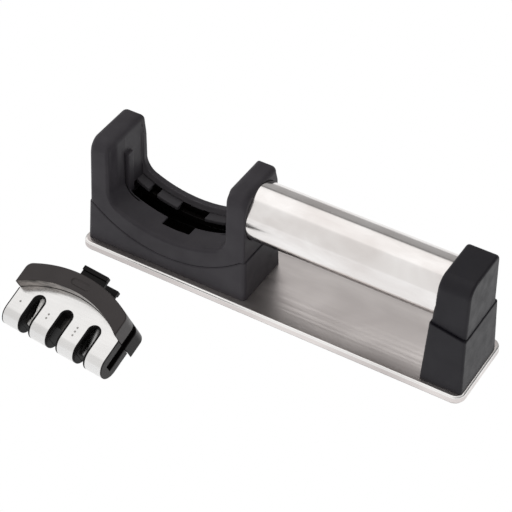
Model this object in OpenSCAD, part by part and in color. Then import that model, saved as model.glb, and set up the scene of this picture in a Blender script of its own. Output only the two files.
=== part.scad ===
// Three-stage pull-through knife sharpener: a steel tray carries a cradle housing, a tubular
// handle and an end post, and a removable sharpening cartridge lies on the table in front of it.
// Frame: +X from the cradle to the end post, +Y to the back, +Z up, origin on the underside of the
// rubber pad, halfway along the tray and below the axis of the handle.

/* [Tray] */
// Length of the tray
tray_len = 210; // [206:1:216]
// Width of the tray
tray_w = 45.8; // [45:0.1:48]
// How far the tray sits behind the middle of the housings
tray_y = 1.9; // [0:0.1:1.9]
// Height of the tray's top face above the table
tray_h = 4.9; // [4.9:0.1:6]
// Outer radius of the tray's corners
tray_r = 5.5; // [4:0.5:8]

/* [Cradle housing] */
// Where the middle of the cradle sits along X
cradle_x = -57.8; // [-58:0.2:-57]
// Length of the housing at the tray
cradle_len = 90.6; // [90:0.2:91]
// Depth of the housing at the tray
cradle_depth = 34.4; // [34:0.2:36]
// Height of the two cradle posts
post_h = 66.4; // [64:0.2:70]
// Lowest point of the seat that the cartridge rests in
seat_low = 22.9; // [22:0.1:24]
// Lowest point of the seam between the two housing parts
seam_low = 12.1; // [11:0.1:13]
// Wall thickness of the plastic housings
wall = 2.4; // [2:0.1:2.6]

/* [Handle] */
// Outer diameter of the handle tube
handle_d = 29.4; // [26:0.1:29.4]
// Height of the handle's axis
handle_z = 49.9; // [49:0.1:50.4]

/* [End post] */
// Where the middle of the end post sits along X
post_x = 92.9; // [92:0.1:93]
// Length of the end post at the tray
post_len = 21.8; // [21:0.1:22]
// Depth of the end post at the tray
post_depth = 36.6; // [34:0.1:38]

/* [Cartridge] */
// Length of the cartridge
cart_len = 61; // [60:0.2:61]
// Radius of the cartridge's round nose, half of its thickness
nose_r = 6.7; // [6.5:0.1:6.9]
// Distance between the three sharpening slots
slot_pitch = 16.8; // [16.4:0.1:17]
// Width of a sharpening slot in the steel face
slot_w = 7.4; // [6.8:0.1:7.6]
// How deep a slot runs in from the nose
slot_len = 19.1; // [18:0.1:20]
// Diameter of the ceramic and diamond rods
rod_d = 3.2; // [2.8:0.1:3.4]
// Lean of each rod from the middle of its slot
rod_lean = 13; // [11:0.5:14]
// Where the cartridge lies in front of the stand
cart_x = -72.2; // [-90:0.1:-40]
// How far in front of the stand's middle the cartridge lies
cart_front = 85.4; // [75:0.1:120]
// Turn of the lying cartridge
cart_yaw = -5.7; // [-15:0.1:15]

/* [Hidden] */
$fn = 64;

plastic = [0.24, 0.235, 0.25];
steel = [0.82, 0.80, 0.78];
black = [0.08, 0.08, 0.085];
zinc = [0.7, 0.7, 0.68];
fit = 0.05;               // gap between two curved faces that touch
far = 200;                // reach of a cut that has to pass right through

// Tray and pad
sheet = 0.8;              // steel thickness
pad_h = 0.9;

// Housing
draft = 0.035;            // how far a wall leans in for each millimetre of height
yoke_draft = 0.02;        // the same for the front and back of the cradle's posts
seam_r = 64;              // radius of the seam, seat and collar arcs
side_seam = 28;           // height of the seam on the housing's ends
step = 0.55;              // how far the lower part stands proud at the seam
base_half = cradle_len / 2;
seam_half = base_half - (side_seam - tray_h) * draft;
yoke_half = seam_half - step;
front_r = 6.5;            // rounding of a post's top at the front
back_r = 3;               // and at the back
top_r = 3;                // rounding of a post's top seen from the front
inner_top_r = 4;          // the same on the side of the pocket
pocket_half = 31.6;       // half of the gap between the posts
mouth_half = 32.8;        // the same at the front face
rim_half = 30.8;          // the same between the back flanges
rim_low = seat_low + 3.1; // lowest point of the back flange
rim_y = 12.7;             // front of the back flange
rib_half = 29.8;          // half of the gap between the two guide ribs
rib_w = 4.5;
rib_top = 53.4;
slot_y = [-1.5, 6.9];     // the long slot in the seat, front and back edges
notch_half = 7.75;        // the hooks' notch
notch_y = -7.2;
hollow_half = [36.2, 40.2]; // the hollow inside a post, from and to
boss_r = 3.1;

// Handle
tube_wall = 0.8;
handle_x0 = cradle_x + yoke_half - 1.3;
handle_x1 = 86;
rod_r = 2;

// End post
cap_seam = [39.9, 36.4];  // height of its seam on the left and on the right
seam_x = [post_x - post_len / 2 + 1.3, post_x + post_len / 2 - 1.6];

// Screws
head_r = 2.6;
head_h = 1.8;
shank_r = 1.3;
cradle_screw_at = [for (sx = [-1, 1], sy = [-1, 1]) [cradle_x + sx * 30, sy * 11]];
yoke_screw_at = [for (sx = [-1, 1], sy = [-1, 1]) [cradle_x + sx * 38.2, sy * 8]];
post_screw_at = [for (sy = [-1, 1]) [post_x - 4.5, sy * 11.5]];
cap_screw_at = [for (sy = [-1, 1]) [post_x + 3.5, sy * 8]];

// Cartridge, in its own frame: X along it, Y from the nose to the arc, Z out of its face
cart_half = cart_len / 2;
skin = 0.5;               // thickness of the steel face
liner_w = slot_w - 2.2;   // clear width of a slot inside its plastic liner
collar_arc = 35.8;        // crown of the collar's outer arc
inner_r = 53.5;           // radius of the collar's inner arc
inner_arc = 26.7;         // crown of the collar's inner arc
collar_front = 6.4;       // how far the collar stands out from the face
collar_back = -2 * nose_r - 5.8;
channel_w = 5;            // the channel in each end that drops over a guide rib
channel_end = 5;
stage_half = 6.5;
stage_n = [-10.9, -2.5];  // the holders' cavity in the body
hook_half = 7.3;
hook_tip = 41.6;
mid = -nose_r;
// The lying cartridge leans until the collar's back corners are on the table with its nose
rest_up = inner_arc - inner_r + sqrt(pow(inner_r, 2) - pow(cart_half - 0.2, 2)) - nose_r;
rest_out = nose_r - collar_back - 2 * nose_r;
lean = atan2(rest_out, rest_up) - asin(nose_r / sqrt(pow(rest_up, 2) + pow(rest_out, 2)));

function arc_points(cx, cy, r, a0, a1, n = 32) =
    [for (i = [0:n]) let (a = a0 + (a1 - a0) * i / n) [cx + r * cos(a), cy + r * sin(a)]];

// Height of an upward-curving arc of radius seam_r at a distance from its middle
function arc_z(low, d) = low + seam_r - sqrt(seam_r * seam_r - d * d);

// A curved trough between the posts: straight sides rounded at their tops, an arc below, and a
// fillet between them
function trough(half, low, r, fillet) =
    let (cz = low + r,
         fz = cz - sqrt(pow(r - fillet, 2) - pow(half - fillet, 2)),
         turn = atan2(fz - cz, half - fillet),
         shoulder = half + inner_top_r)
    concat([[-shoulder, far], [-shoulder, post_h]],
           arc_points(-shoulder, post_h - inner_top_r, inner_top_r, 90, 0, 8),
           arc_points(fillet - half, fz, fillet, 180, 180 - turn, 8),
           arc_points(0, cz, r, -180 - turn, turn, 40),
           arc_points(half - fillet, fz, fillet, turn, 0, 8),
           arc_points(shoulder, post_h - inner_top_r, inner_top_r, 180, 90, 8),
           [[shoulder, post_h], [shoulder, far]]);

// Outlines drawn in the XZ plane run through the object along Y, and YZ outlines along X
module along_y(y0, y1) {
    translate([0, y1, 0]) rotate([90, 0, 0]) linear_extrude(y1 - y0) children();
}

module along_x(x0, x1) {
    translate([x0, 0, 0]) rotate([90, 0, 90]) linear_extrude(x1 - x0) children();
}

module box(a, b) {
    translate(a) cube(b - a);
}

module rounded_plate(lx, ly, r, z0, z1) {
    translate([0, tray_y, z0]) linear_extrude(z1 - z0) {
        square([lx - 2 * r, ly], center = true);
        square([lx, ly - 2 * r], center = true);
        for (sx = [-1, 1], sy = [-1, 1])
            translate([sx * (lx / 2 - r), sy * (ly / 2 - r)]) circle(r);
    }
}

// Front-to-back outline of a housing that leans in, with a rounded top
module side_outline(y_base, z0, z1, inset = 0, lean = draft) {
    y_top = y_base - (z1 - z0) * lean - inset;
    rf = max(front_r - inset, 1);
    rb = max(back_r - inset, 1);
    polygon(concat([[-(y_base - inset), z0], [y_base - inset, z0]],
                   arc_points(y_top - rb, z1 - inset - rb, rb, 0, 90, 10),
                   arc_points(rf - y_top, z1 - inset - rf, rf, 90, 180, 14)));
}

module screw(x, y, z, reach) {
    translate([x, y, z]) difference() {
        union() {
            cylinder(r = head_r, h = head_h);
            cylinder(r = shank_r, h = reach);
        }
        for (turn = [0, 90]) rotate(turn) box([-1.6, -0.35, -1], [1.6, 0.35, 0.9]);
    }
}

module screw_hole(x, y, z, reach, head_top) {
    translate([x, y, z]) cylinder(r = shank_r + fit, h = reach);
    translate([x, y, z]) cylinder(r = head_r + 0.2, h = head_top - z);
}

// --- Tray ---

module base_tray() {
    color(steel) difference() {
        rounded_plate(tray_len, tray_w, tray_r, pad_h, tray_h);
        rounded_plate(tray_len - 2 * sheet, tray_w - 2 * sheet, tray_r - sheet, 0, tray_h - sheet);
        for (p = concat(cradle_screw_at, post_screw_at))
            translate([p[0], p[1], 0]) cylinder(r = shank_r + fit, h = 10);
    }
}

// Stiffener that fills the tray and takes the screws
module base_core() {
    gap = sheet + 0.1;
    color(black) difference() {
        rounded_plate(tray_len - 2 * gap, tray_w - 2 * gap, tray_r - gap, pad_h, tray_h - sheet);
        for (p = concat(cradle_screw_at, post_screw_at))
            screw_hole(p[0], p[1], pad_h - 1, 10, pad_h + head_h + 0.1);
    }
}

module base_pad() {
    gap = 0.7;
    color(black) rounded_plate(tray_len - 2 * gap, tray_w - 2 * gap, tray_r - gap, 0, pad_h);
}

// --- Cradle housing ---

// Front outline of the lower part: the seam is an arc between two level ends
module cradle_base_front() {
    reach = sqrt(pow(seam_r, 2) - pow(seam_low + seam_r - side_seam, 2));
    turn = asin(reach / seam_r);
    polygon(concat([[-base_half, tray_h], [base_half, tray_h], [seam_half, side_seam]],
                   arc_points(0, seam_low + seam_r, seam_r, turn - 90, -turn - 90, 40),
                   [[-seam_half, side_seam]]));
}

// Everything above the seam, out to the yoke's ends and up to the posts' tops
module cradle_yoke_front() {
    reach = sqrt(pow(seam_r, 2) - pow(seam_low + seam_r - side_seam, 2));
    turn = asin(reach / seam_r);
    top_half = yoke_half - (post_h - side_seam) * draft / 2;
    polygon(concat([[-yoke_half, side_seam]],
                   arc_points(0, seam_low + seam_r, seam_r, -turn - 90, turn - 90, 40),
                   [[yoke_half, side_seam]],
                   arc_points(top_half - top_r, post_h - top_r, top_r, 0, 90, 10),
                   arc_points(top_r - top_half, post_h - top_r, top_r, 90, 180, 10)));
}

module cradle_base() {
    color(plastic) difference() {
        translate([cradle_x, 0, 0]) intersection() {
            along_y(-far, far) cradle_base_front();
            along_x(-far, far) side_outline(cradle_depth / 2, tray_h, far);
        }
        difference() {
            translate([cradle_x, 0, 0]) intersection() {
                box([-(seam_half - wall), -far, tray_h + wall],
                    [seam_half - wall, far, far]);
                along_x(-far, far) side_outline(cradle_depth / 2, tray_h, far, wall);
            }
            for (p = cradle_screw_at) translate([p[0], p[1], 0]) cylinder(r = boss_r, h = 12.5);
            for (p = yoke_screw_at) translate([p[0], p[1], 0]) cylinder(r = boss_r, h = 18);
        }
        for (p = cradle_screw_at) translate([p[0], p[1], 0]) cylinder(r = shank_r + fit, h = 12);
        for (p = yoke_screw_at)
            screw_hole(p[0], p[1], tray_h - 1, 40, tray_h + head_h + 0.1);
    }
}

// The space between the posts, with a wider mouth at the front
module cradle_pocket() {
    intersection() {
        along_y(-far, rim_y) polygon(trough(mouth_half, seat_low, seam_r + 0.3, 5));
        union() {
            along_y(-far, rim_y) polygon(trough(pocket_half, seat_low, seam_r + 0.3, 5));
            linear_extrude(post_h - inner_top_r) polygon([[-mouth_half, -far], [mouth_half, -far],
                [mouth_half, -13.5], [pocket_half, -8.5], [-pocket_half, -8.5],
                [-mouth_half, -13.5]]);
        }
    }
    along_y(rim_y - 1, far) polygon(trough(rim_half, rim_low, seam_r - 4, 5));
}

// The hollow under the seat and inside the posts
module cradle_hollow() {
    under = seam_r + 0.3 + 2.6;
    intersection() {
        along_x(-far, far) side_outline(cradle_depth / 2, tray_h, post_h, wall);
        union() {
            along_y(-far, far) polygon(concat([[-34, 0], [34, 0]],
                arc_points(0, seat_low - 2.6 + under, under, -60, -120, 40)));
            for (s = [0, 1]) mirror([s, 0, 0])
                box([hollow_half[0] - 3, -far, 0], [hollow_half[1], far, seat_low - 1]);
            for (s = [0, 1]) mirror([s, 0, 0])
                box([hollow_half[0], -far, 0], [hollow_half[1], far, post_h - 4]);
        }
    }
}

// The arc-shaped hole in the seat: a long slot, the hooks' notch and the latch plate's bay
module seat_slots() {
    box([-pocket_half, slot_y[0], 0], [pocket_half, rim_y, far]);
    box([-notch_half, notch_y, 0], [notch_half, rim_y, far]);
}

module guide_ribs() {
    for (s = [0, 1]) mirror([s, 0, 0])
        box([rib_half, -rib_w / 2, arc_z(seat_low, rib_half) - 3],
            [mouth_half + 1, rib_w / 2, rib_top]);
}

module cradle_yoke() {
    color(plastic) difference() {
        union() {
            translate([cradle_x, 0, 0]) difference() {
                intersection() {
                    along_y(-far, far) cradle_yoke_front();
                    along_x(-far, far)
                        side_outline(cradle_depth / 2 - step, tray_h, post_h, lean = yoke_draft);
                }
                cradle_pocket();
                cradle_hollow();
                seat_slots();
            }
            translate([cradle_x, 0, 0]) guide_ribs();
            for (p = yoke_screw_at)
                translate([p[0], p[1], 18.1]) cylinder(r = 2.3, h = 24);
        }
        for (p = yoke_screw_at) translate([p[0], p[1], 0]) cylinder(r = shank_r + fit, h = 38);
        translate([handle_x0, 0, handle_z]) rotate([0, 90, 0]) {
            cylinder(r = handle_d / 2 + 0.1, h = far);
            translate([0, 0, -4]) cylinder(r = rod_r + 0.1, h = far);
        }
    }
}

module arc_band(centre, r0, r1) {
    polygon(concat(arc_points(0, centre, r1, -120, -60, 40), arc_points(0, centre, r0, -60, -120, 40)));
}

// Arc-shaped plate behind the long slot: ledges flush with the seat, joined by a web below
module latch_plate() {
    outer = seam_r + 0.3;
    top = seat_low + outer;
    web = slot_y[1] + 2.8;    // front of the web that joins the ledges
    color(plastic) translate([cradle_x, 0, 0]) difference() {
        intersection() {
            along_y(slot_y[1], rim_y - 0.4) arc_band(top, outer, outer + 7);
            box([-pocket_half, -far, 0], [pocket_half, far, far]);
        }
        along_y(0, web) arc_band(top, outer + 2, outer + 9);
        along_y(0, far) intersection() {
            arc_band(top, outer - 2, outer + 4);
            union() {
                translate([-notch_half, 0]) square([2 * notch_half, far]);
                for (s = [0, 1]) mirror([s, 0]) translate([19.9, 0]) square([4.5, far]);
            }
        }
    }
}

// --- Handle ---

module along_handle(x0, x1) {
    translate([x0, 0, handle_z]) rotate([0, 90, 0]) linear_extrude(x1 - x0) children();
}

module handle_tube() {
    color(steel) along_handle(handle_x0, handle_x1) difference() {
        circle(handle_d / 2);
        circle(handle_d / 2 - tube_wall);
    }
}

module handle_plug(x0, x1) {
    color(black) along_handle(x0, x1) difference() {
        circle(handle_d / 2 - tube_wall - fit);
        circle(rod_r + fit);
    }
}

module handle_plug_left() {
    handle_plug(handle_x0, handle_x0 + 8);
}

module handle_plug_right() {
    handle_plug(handle_x1 - 8, handle_x1);
}

module tie_rod() {
    color(zinc) along_handle(handle_x0 - 6, handle_x1 + 6.4) circle(rod_r);
}

module tie_rod_nuts() {
    nut_h = 3.2;
    color(zinc) for (x = [cradle_x + hollow_half[1] - nut_h, handle_x1 + 2.2])
        along_handle(x, x + nut_h) difference() {
            circle(3.9, $fn = 6);
            circle(rod_r + fit);
        }
}

// --- End post ---

// Height of the sloping seam at a place along X
function post_seam_z(x) = cap_seam[0] + (cap_seam[1] - cap_seam[0]) * (x - seam_x[0])
                                        / (seam_x[1] - seam_x[0]);

module post_base_front() {
    polygon([[post_x - post_len / 2, tray_h], [post_x + post_len / 2, tray_h],
             [seam_x[1], cap_seam[1]], [seam_x[0], cap_seam[0]]]);
}

module post_cap_front() {
    left = seam_x[0] + 0.5;
    right = seam_x[1] - 0.5;
    top = post_h - 0.2;
    polygon(concat([[left, post_seam_z(left)], [right, post_seam_z(right)]],
                   arc_points(right - 0.6 - top_r, top - top_r, top_r, 0, 90, 10),
                   arc_points(left + 1.3 + top_r, top - top_r, top_r, 90, 180, 10)));
}

module post_base() {
    color(plastic) difference() {
        intersection() {
            along_y(-far, far) post_base_front();
            along_x(-far, far) side_outline(post_depth / 2, tray_h, far);
        }
        difference() {
            intersection() {
                box([post_x - post_len / 2 + 1.6 + wall, -far, tray_h + wall],
                    [post_x + post_len / 2 - 1.6 - wall, far, far]);
                along_x(-far, far) side_outline(post_depth / 2, tray_h, far, wall);
            }
            for (p = post_screw_at) translate([p[0], p[1], 0]) cylinder(r = boss_r, h = 14);
            for (p = cap_screw_at) translate([p[0], p[1], 0]) cylinder(r = boss_r, h = 24);
        }
        for (p = post_screw_at) translate([p[0], p[1], 0]) cylinder(r = shank_r + fit, h = 13);
        for (p = cap_screw_at) screw_hole(p[0], p[1], tray_h - 1, 40, tray_h + head_h + 0.1);
        along_handle(0, handle_x1 + 0.1) circle(handle_d / 2 + 0.1);
    }
}

module post_cap() {
    lean_y = (cap_seam[1] - tray_h) * 0.06;
    color(plastic) difference() {
        intersection() {
            along_y(-far, far) post_cap_front();
            along_x(-far, far)
                side_outline(post_depth / 2 - lean_y - 0.3, cap_seam[1] - 4, post_h - 0.2);
        }
        difference() {
            intersection() {
                along_y(-far, far) polygon([
                    [handle_x1 + 2.2, 0], [post_x + post_len / 2 - 2.7 - wall, 0],
                    [post_x + post_len / 2 - 2.7 - wall, post_h - 3],
                    [handle_x1 + 2.2, post_h - 3]]);
                along_x(-far, far) side_outline(post_depth / 2 - lean_y - 0.3,
                                                cap_seam[1] - 4, post_h - 0.2, wall);
            }
            for (p = cap_screw_at)
                translate([p[0], p[1], 24.1]) cylinder(r = boss_r, h = 21);
        }
        for (p = cap_screw_at) translate([p[0], p[1], 0]) cylinder(r = shank_r + fit, h = 43);
        along_handle(0, handle_x1) circle(handle_d / 2 + 0.1);
        along_handle(0, handle_x1 + 6) circle(rod_r + 0.1);
    }
}

// --- Screws of the stand ---

module cradle_screws() {
    color(zinc) for (p = cradle_screw_at) screw(p[0], p[1], pad_h, 10.5);
}

module yoke_screws() {
    color(zinc) for (p = yoke_screw_at) screw(p[0], p[1], tray_h, 31);
}

module post_screws() {
    color(zinc) for (p = post_screw_at) screw(p[0], p[1], pad_h, 11);
}

module cap_screws() {
    color(zinc) for (p = cap_screw_at) screw(p[0], p[1], tray_h, 36);
}

// --- Cartridge ---

module lay_cartridge() {
    translate([cart_x, -cart_front, nose_r]) rotate([0, 0, cart_yaw]) rotate([lean, 0, 0])
        translate([0, -nose_r, nose_r]) children();
}

// The cartridge's outline seen from its end, a round nose and two flat faces
module nose_outline(half, inset) {
    translate([-half, nose_r, -nose_r]) rotate([0, 90, 0]) cylinder(r = nose_r - inset, h = 2 * half);
    box([-half, nose_r, inset - 2 * nose_r], [half, collar_arc, -inset]);
}

// Everything on the nose side of the collar's inner arc
module nose_side(gap = 0) {
    translate([0, inner_arc - inner_r - gap, -far / 2]) cylinder(r = inner_r, h = far, $fn = 128);
}

module slot_prism(w, end = slot_len) {
    box([-w / 2, -1, -far], [w / 2, end - w / 2, far]);
    translate([0, end - w / 2, -far]) cylinder(r = w / 2, h = 2 * far);
}

module each_stage() {
    for (i = [-1:1]) translate([i * slot_pitch, 0, 0]) children();
}

module end_channels() {
    for (s = [0, 1]) mirror([s, 0, 0])
        box([cart_half - 2.6, channel_end, mid - channel_w / 2],
            [cart_half + 2, far, mid + channel_w / 2]);
}

module cartridge_body() {
    end = 0.6;
    color(black) lay_cartridge() difference() {
        union() {
            intersection() {
                nose_outline(cart_half - end, skin + fit);
                nose_side();
            }
            for (s = [0, 1]) mirror([s, 0, 0]) intersection() {
                translate([cart_half - end / 2, 0, 0]) nose_outline(end / 2, 0);
                nose_side();
            }
            intersection() {
                nose_outline(cart_half - end - 1, 0.02);
                nose_side();
                each_stage() slot_prism(slot_w - 0.1, slot_len - 0.05);
            }
        }
        each_stage() slot_prism(liner_w, slot_len - 0.7);
        each_stage() box([-stage_half, 3.2, stage_n[0]], [stage_half, far, stage_n[1]]);
        end_channels();
        for (s = [-1, 1]) translate([s * 25.6, 12, mid]) rotate([-90, 0, 0])
            cylinder(r = 1.15, h = far);
    }
}

module face_wrap() {
    half = cart_half - 0.65;
    color(steel) lay_cartridge() difference() {
        intersection() {
            nose_outline(half, 0);
            nose_side(0.05);
        }
        nose_outline(half + 1, skin);
        each_stage() slot_prism(slot_w);
    }
}

// Arc-shaped collar across the wide end, standing proud of both faces
module collar() {
    half = cart_half - 0.2;
    color([0.28, 0.265, 0.27]) lay_cartridge() difference() {
        intersection() {
            translate([0, collar_arc - seam_r, collar_back])
                cylinder(r = seam_r, h = collar_front - collar_back, $fn = 160);
            box([-half, 10, -far], [half, 50, far]);
        }
        nose_side(-0.05);
        intersection() {
            translate([0, collar_arc - seam_r - 2, mid - 5.6])
                cylinder(r = seam_r, h = 11.2, $fn = 160);
            box([-22.5, 10, -far], [22.5, 50, far]);
        }
        end_channels();
        for (n = [-0.8, -15]) box([-hook_half - 0.1, 25, n - 1.1], [hook_half + 0.1, 50, n + 1.1]);
        box([-hook_half - 0.1, 25, -16.1], [hook_half + 0.1, 32.6, 0.3]);
        for (s = [-1, 1]) translate([s * 25.6, 0, mid]) rotate([-90, 0, 0]) {
            cylinder(r = 1.15, h = far);
            translate([0, 0, 28]) cylinder(r = 2.3, h = far);
        }
        // Shallow thumb mark on the face in front of the hooks
        translate([0, 31, collar_front - 0.5]) {
            for (s = [-1, 1]) translate([s * 4, 0, 0]) cylinder(r = 1.8, h = 2);
            box([-4, -1.8, 0], [4, 1.8, 2]);
        }
    }
}

// Spring clip inside the collar: two hooks that snap under the cradle's seat
module snap_clip() {
    color(black) lay_cartridge() {
        box([-hook_half, 30.4, -16], [hook_half, 32.4, 0.2]);
        for (side = [0, 1]) {
            n0 = side == 0 ? -1.8 : -16;
            lip = side == 0 ? [-1.8, 1.2] : [-17, -14];
            box([-hook_half, 32.4, n0], [hook_half, 39.2, n0 + 2]);
            box([-hook_half, 39.2, lip[0]], [hook_half, hook_tip, lip[1]]);
        }
    }
}

// A carrier block round one slot, open at the nose
module stage_holder(stage) {
    clear = 0.05;
    lay_cartridge() intersection() {
        nose_side(0.1);
        translate([stage * slot_pitch, 0, 0]) difference() {
            box([clear - stage_half, 3.2 + clear, stage_n[0] + clear],
                [stage_half - clear, far, stage_n[1] - clear]);
            slot_prism(liner_w, slot_len - 0.7);
            children();
        }
    }
}

// Two crossed rods, one in front of the other
module crossed_rods(d) {
    for (s = [-1, 1])
        translate([0, 15, mid + s * 2]) rotate([0, 0, s * rod_lean]) rotate([-90, 0, 0])
            translate([0, 0, -10.2]) cylinder(d = d, h = 16.4);
}

// Two crossed carbide blades that meet in a V
module crossed_blades(grow = 0) {
    for (s = [-1, 1]) {
        n0 = s > 0 ? mid + 0.15 : mid - 1.65;
        translate([0, 16, 0]) rotate([0, 0, -s * 24])
            box([-2.6 - grow, -6 - grow, n0 - grow], [2.6 + grow, 5 + grow, n0 + 1.5 + grow]);
    }
}

module ceramic_holder() {
    color(black) stage_holder(-1) crossed_rods(rod_d + 0.1);
}

module tungsten_holder() {
    color(black) stage_holder(0) crossed_blades(fit);
}

module diamond_holder() {
    color(black) stage_holder(1) crossed_rods(rod_d + 0.1);
}

module ceramic_rods() {
    color("ivory") lay_cartridge() translate([-slot_pitch, 0, 0]) crossed_rods(rod_d);
}

module tungsten_blades() {
    color([0.35, 0.34, 0.33]) lay_cartridge() crossed_blades();
}

module diamond_rods() {
    color([0.5, 0.5, 0.5]) lay_cartridge() translate([slot_pitch, 0, 0]) crossed_rods(rod_d);
}

module cartridge_screws() {
    color(zinc) lay_cartridge() for (s = [-1, 1])
        translate([s * 25.6, 0, mid]) rotate([-90, 0, 0]) {
            translate([0, 0, 13]) cylinder(r = 1.1, h = 15.2);
            translate([0, 0, 28.05]) cylinder(r = 2.1, h = 1.5);
        }
}

base_tray();
base_core();
base_pad();
cradle_base();
cradle_yoke();
latch_plate();
post_base();
post_cap();
handle_tube();
handle_plug_left();
handle_plug_right();
tie_rod();
tie_rod_nuts();
cradle_screws();
yoke_screws();
post_screws();
cap_screws();
cartridge_body();
face_wrap();
collar();
snap_clip();
ceramic_holder();
tungsten_holder();
diamond_holder();
ceramic_rods();
tungsten_blades();
diamond_rods();
cartridge_screws();
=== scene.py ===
"""Looks of the pull-through knife sharpener: smooth moulded housings, brushed steel and the
slotted cartridge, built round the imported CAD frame. Lengths are in millimetres unless a name
ends in _m; every mesh is scaled to metres when it is made."""

import math

import bmesh
import bpy
import numpy as np
from mathutils import Matrix, Vector


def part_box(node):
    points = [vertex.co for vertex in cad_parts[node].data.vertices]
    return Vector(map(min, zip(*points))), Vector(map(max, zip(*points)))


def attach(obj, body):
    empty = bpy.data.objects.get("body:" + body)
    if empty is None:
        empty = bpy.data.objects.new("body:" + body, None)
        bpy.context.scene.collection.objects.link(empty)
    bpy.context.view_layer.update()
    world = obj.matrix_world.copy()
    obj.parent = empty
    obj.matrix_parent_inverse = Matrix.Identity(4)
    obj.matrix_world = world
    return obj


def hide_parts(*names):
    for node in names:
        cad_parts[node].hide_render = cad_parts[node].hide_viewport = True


MM = 0.001
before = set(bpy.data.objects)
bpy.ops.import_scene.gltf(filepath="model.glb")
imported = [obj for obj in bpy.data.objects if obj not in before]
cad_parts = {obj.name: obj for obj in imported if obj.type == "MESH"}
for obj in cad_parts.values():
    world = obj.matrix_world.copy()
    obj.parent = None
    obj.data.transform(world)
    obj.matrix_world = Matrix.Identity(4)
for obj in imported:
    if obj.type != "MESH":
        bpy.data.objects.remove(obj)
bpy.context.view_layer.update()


def node_box(name):
    """The lowest and highest corner of a CAD node, in millimetres."""
    low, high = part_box(name)
    return np.array(low) / MM, np.array(high) / MM


# ---------------------------------------------------------------- sizes, from the frame

tray_low, tray_high = node_box("base_tray")
TRAY_LEN, TRAY_W, DECK = tray_high[0] * 2, tray_high[1] - tray_low[1], tray_high[2]
TRAY_Y = (tray_high[1] + tray_low[1]) / 2
TRAY_R = 5.5
PAD_H = tray_low[2]
PAD_INSET = 0.7

base_low, base_high = node_box("cradle_base")
CRADLE_X = (base_low[0] + base_high[0]) / 2
BASE_HALF = (base_high[0] - base_low[0]) / 2
BASE_DEPTH = base_high[1]
POST_H = node_box("cradle_yoke")[1][2]
DRAFT, YOKE_DRAFT = 0.035, 0.02
POST_FRONT_R, POST_BACK_R = 6.5, 3.0
WALL, SEAT_WALL = 2.4, 2.6
HOLLOW_HALF, HOLLOW_LOW = 34.0, 10.0

# The seam between the cradle's halves is an arc, and so is the seat above it
SEAM_R, SEAM_LOW, SIDE_SEAM = 64.0, 12.1, base_high[2]
STEP = 0.55
YOKE_HALF = BASE_HALF - (SIDE_SEAM - DECK) * DRAFT - STEP
SEAT_LOW, SEAT_R = 22.9, SEAM_R + 0.3

# The pocket over the seat widens at its mouth and at the posts' shoulders
POCKET_HALF, POCKET_R = 31.6, 5.0
MOUTH_FLARE, MOUTH_Y, MOUTH_RUN = 1.2, -8.5, 5.0
SHOULDER_R = 4.0
RIM_HALF, RIM_LOW, RIM_R, RIM_Y = 30.8, 26.0, 60.0, 12.7

# Guide ribs on the posts' inner walls, and the groove in front of each
RIB_HALF, RIB_W, RIB_TOP, RIB_ROOT, RIB_FOOT = 29.8, 4.5, 53.4, 36.0, SEAT_LOW + 4.5
GROOVE_W, GROOVE_ROOT, GROOVE_FOOT = 0.8, 33.4, SEAT_LOW + 4.0

# The slot through the seat, and the notch in its front edge for the front hook
SLOT_Y = (-1.5, 6.9)
NOTCH_HALF, NOTCH_Y = 7.75, -7.2
LATCH_DEEP, LATCH_GAP_DEEP, LATCH_GAP = 7.0, 4.0, (19.9, 24.4)
LEDGE_DEEP, LEDGE_H = 2.8, 2.0

tube_low, tube_high = node_box("handle_tube")
HANDLE_R = (tube_high[2] - tube_low[2]) / 2
HANDLE_Z = (tube_high[2] + tube_low[2]) / 2
HANDLE_X = (tube_low[0], tube_high[0])
TUBE_WALL = 0.8
TUBE_CHAMFER = 0.2
BORE_GAP = 0.1

end_low, end_high = node_box("post_base")
cap_low, cap_high = node_box("post_cap")
END_SEAM = ((end_low[0] + 1.3, 39.9), (end_high[0] - 1.6, 36.4))

CART_HALF = 30.5
NOSE_R = 6.7
MID = -NOSE_R
SLOT_PITCH, SLOT_W, LINER_W, SLOT_LEN = 16.8, 7.4, 5.2, 19.1
COLLAR_ARC, COLLAR_FRONT, COLLAR_BACK = 35.8, 6.4, -2 * NOSE_R - 5.8
INNER_R, INNER_ARC = 53.5, 26.7
CHANNEL_W, CHANNEL_END, CHANNEL_DEEP = 5.0, 5.0, 2.6
CAVITY_HALF, CAVITY_Y, CAVITY_Z = 6.5, 3.2, (-10.9, -2.5)
COLLAR_WALL, COLLAR_ROOM_HALF, COLLAR_ROOM_DEEP = 2.0, 22.5, 5.6
DIMPLE_HALF, DIMPLE_Y, DIMPLE_R, DIMPLE_RUN, DIMPLE_DEEP = 3.6, 31.0, 1.9, 0.9, 0.5

# The clip's bridge, and its two arms: the lowest Z of each arm and of its lip
HOOK_HALF, HOOK_TIP = 7.3, 41.6
BRIDGE_Y, BRIDGE_Z = (30.4, 32.4), (-16.0, 0.2)
ARM_Y, ARM_T, LIP_Y, LIP_T = (31.0, 40.5), 2.0, (39.2, HOOK_TIP), 3.0
HOOKS = ((-1.8, -1.8), (-16.0, -17.0))
CLIP_GAP = 0.1

# Where the cartridge lies on the table, and its turn in degrees
CART_X, CART_Y, CART_YAW = -72.2, -85.4, -5.7

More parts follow.
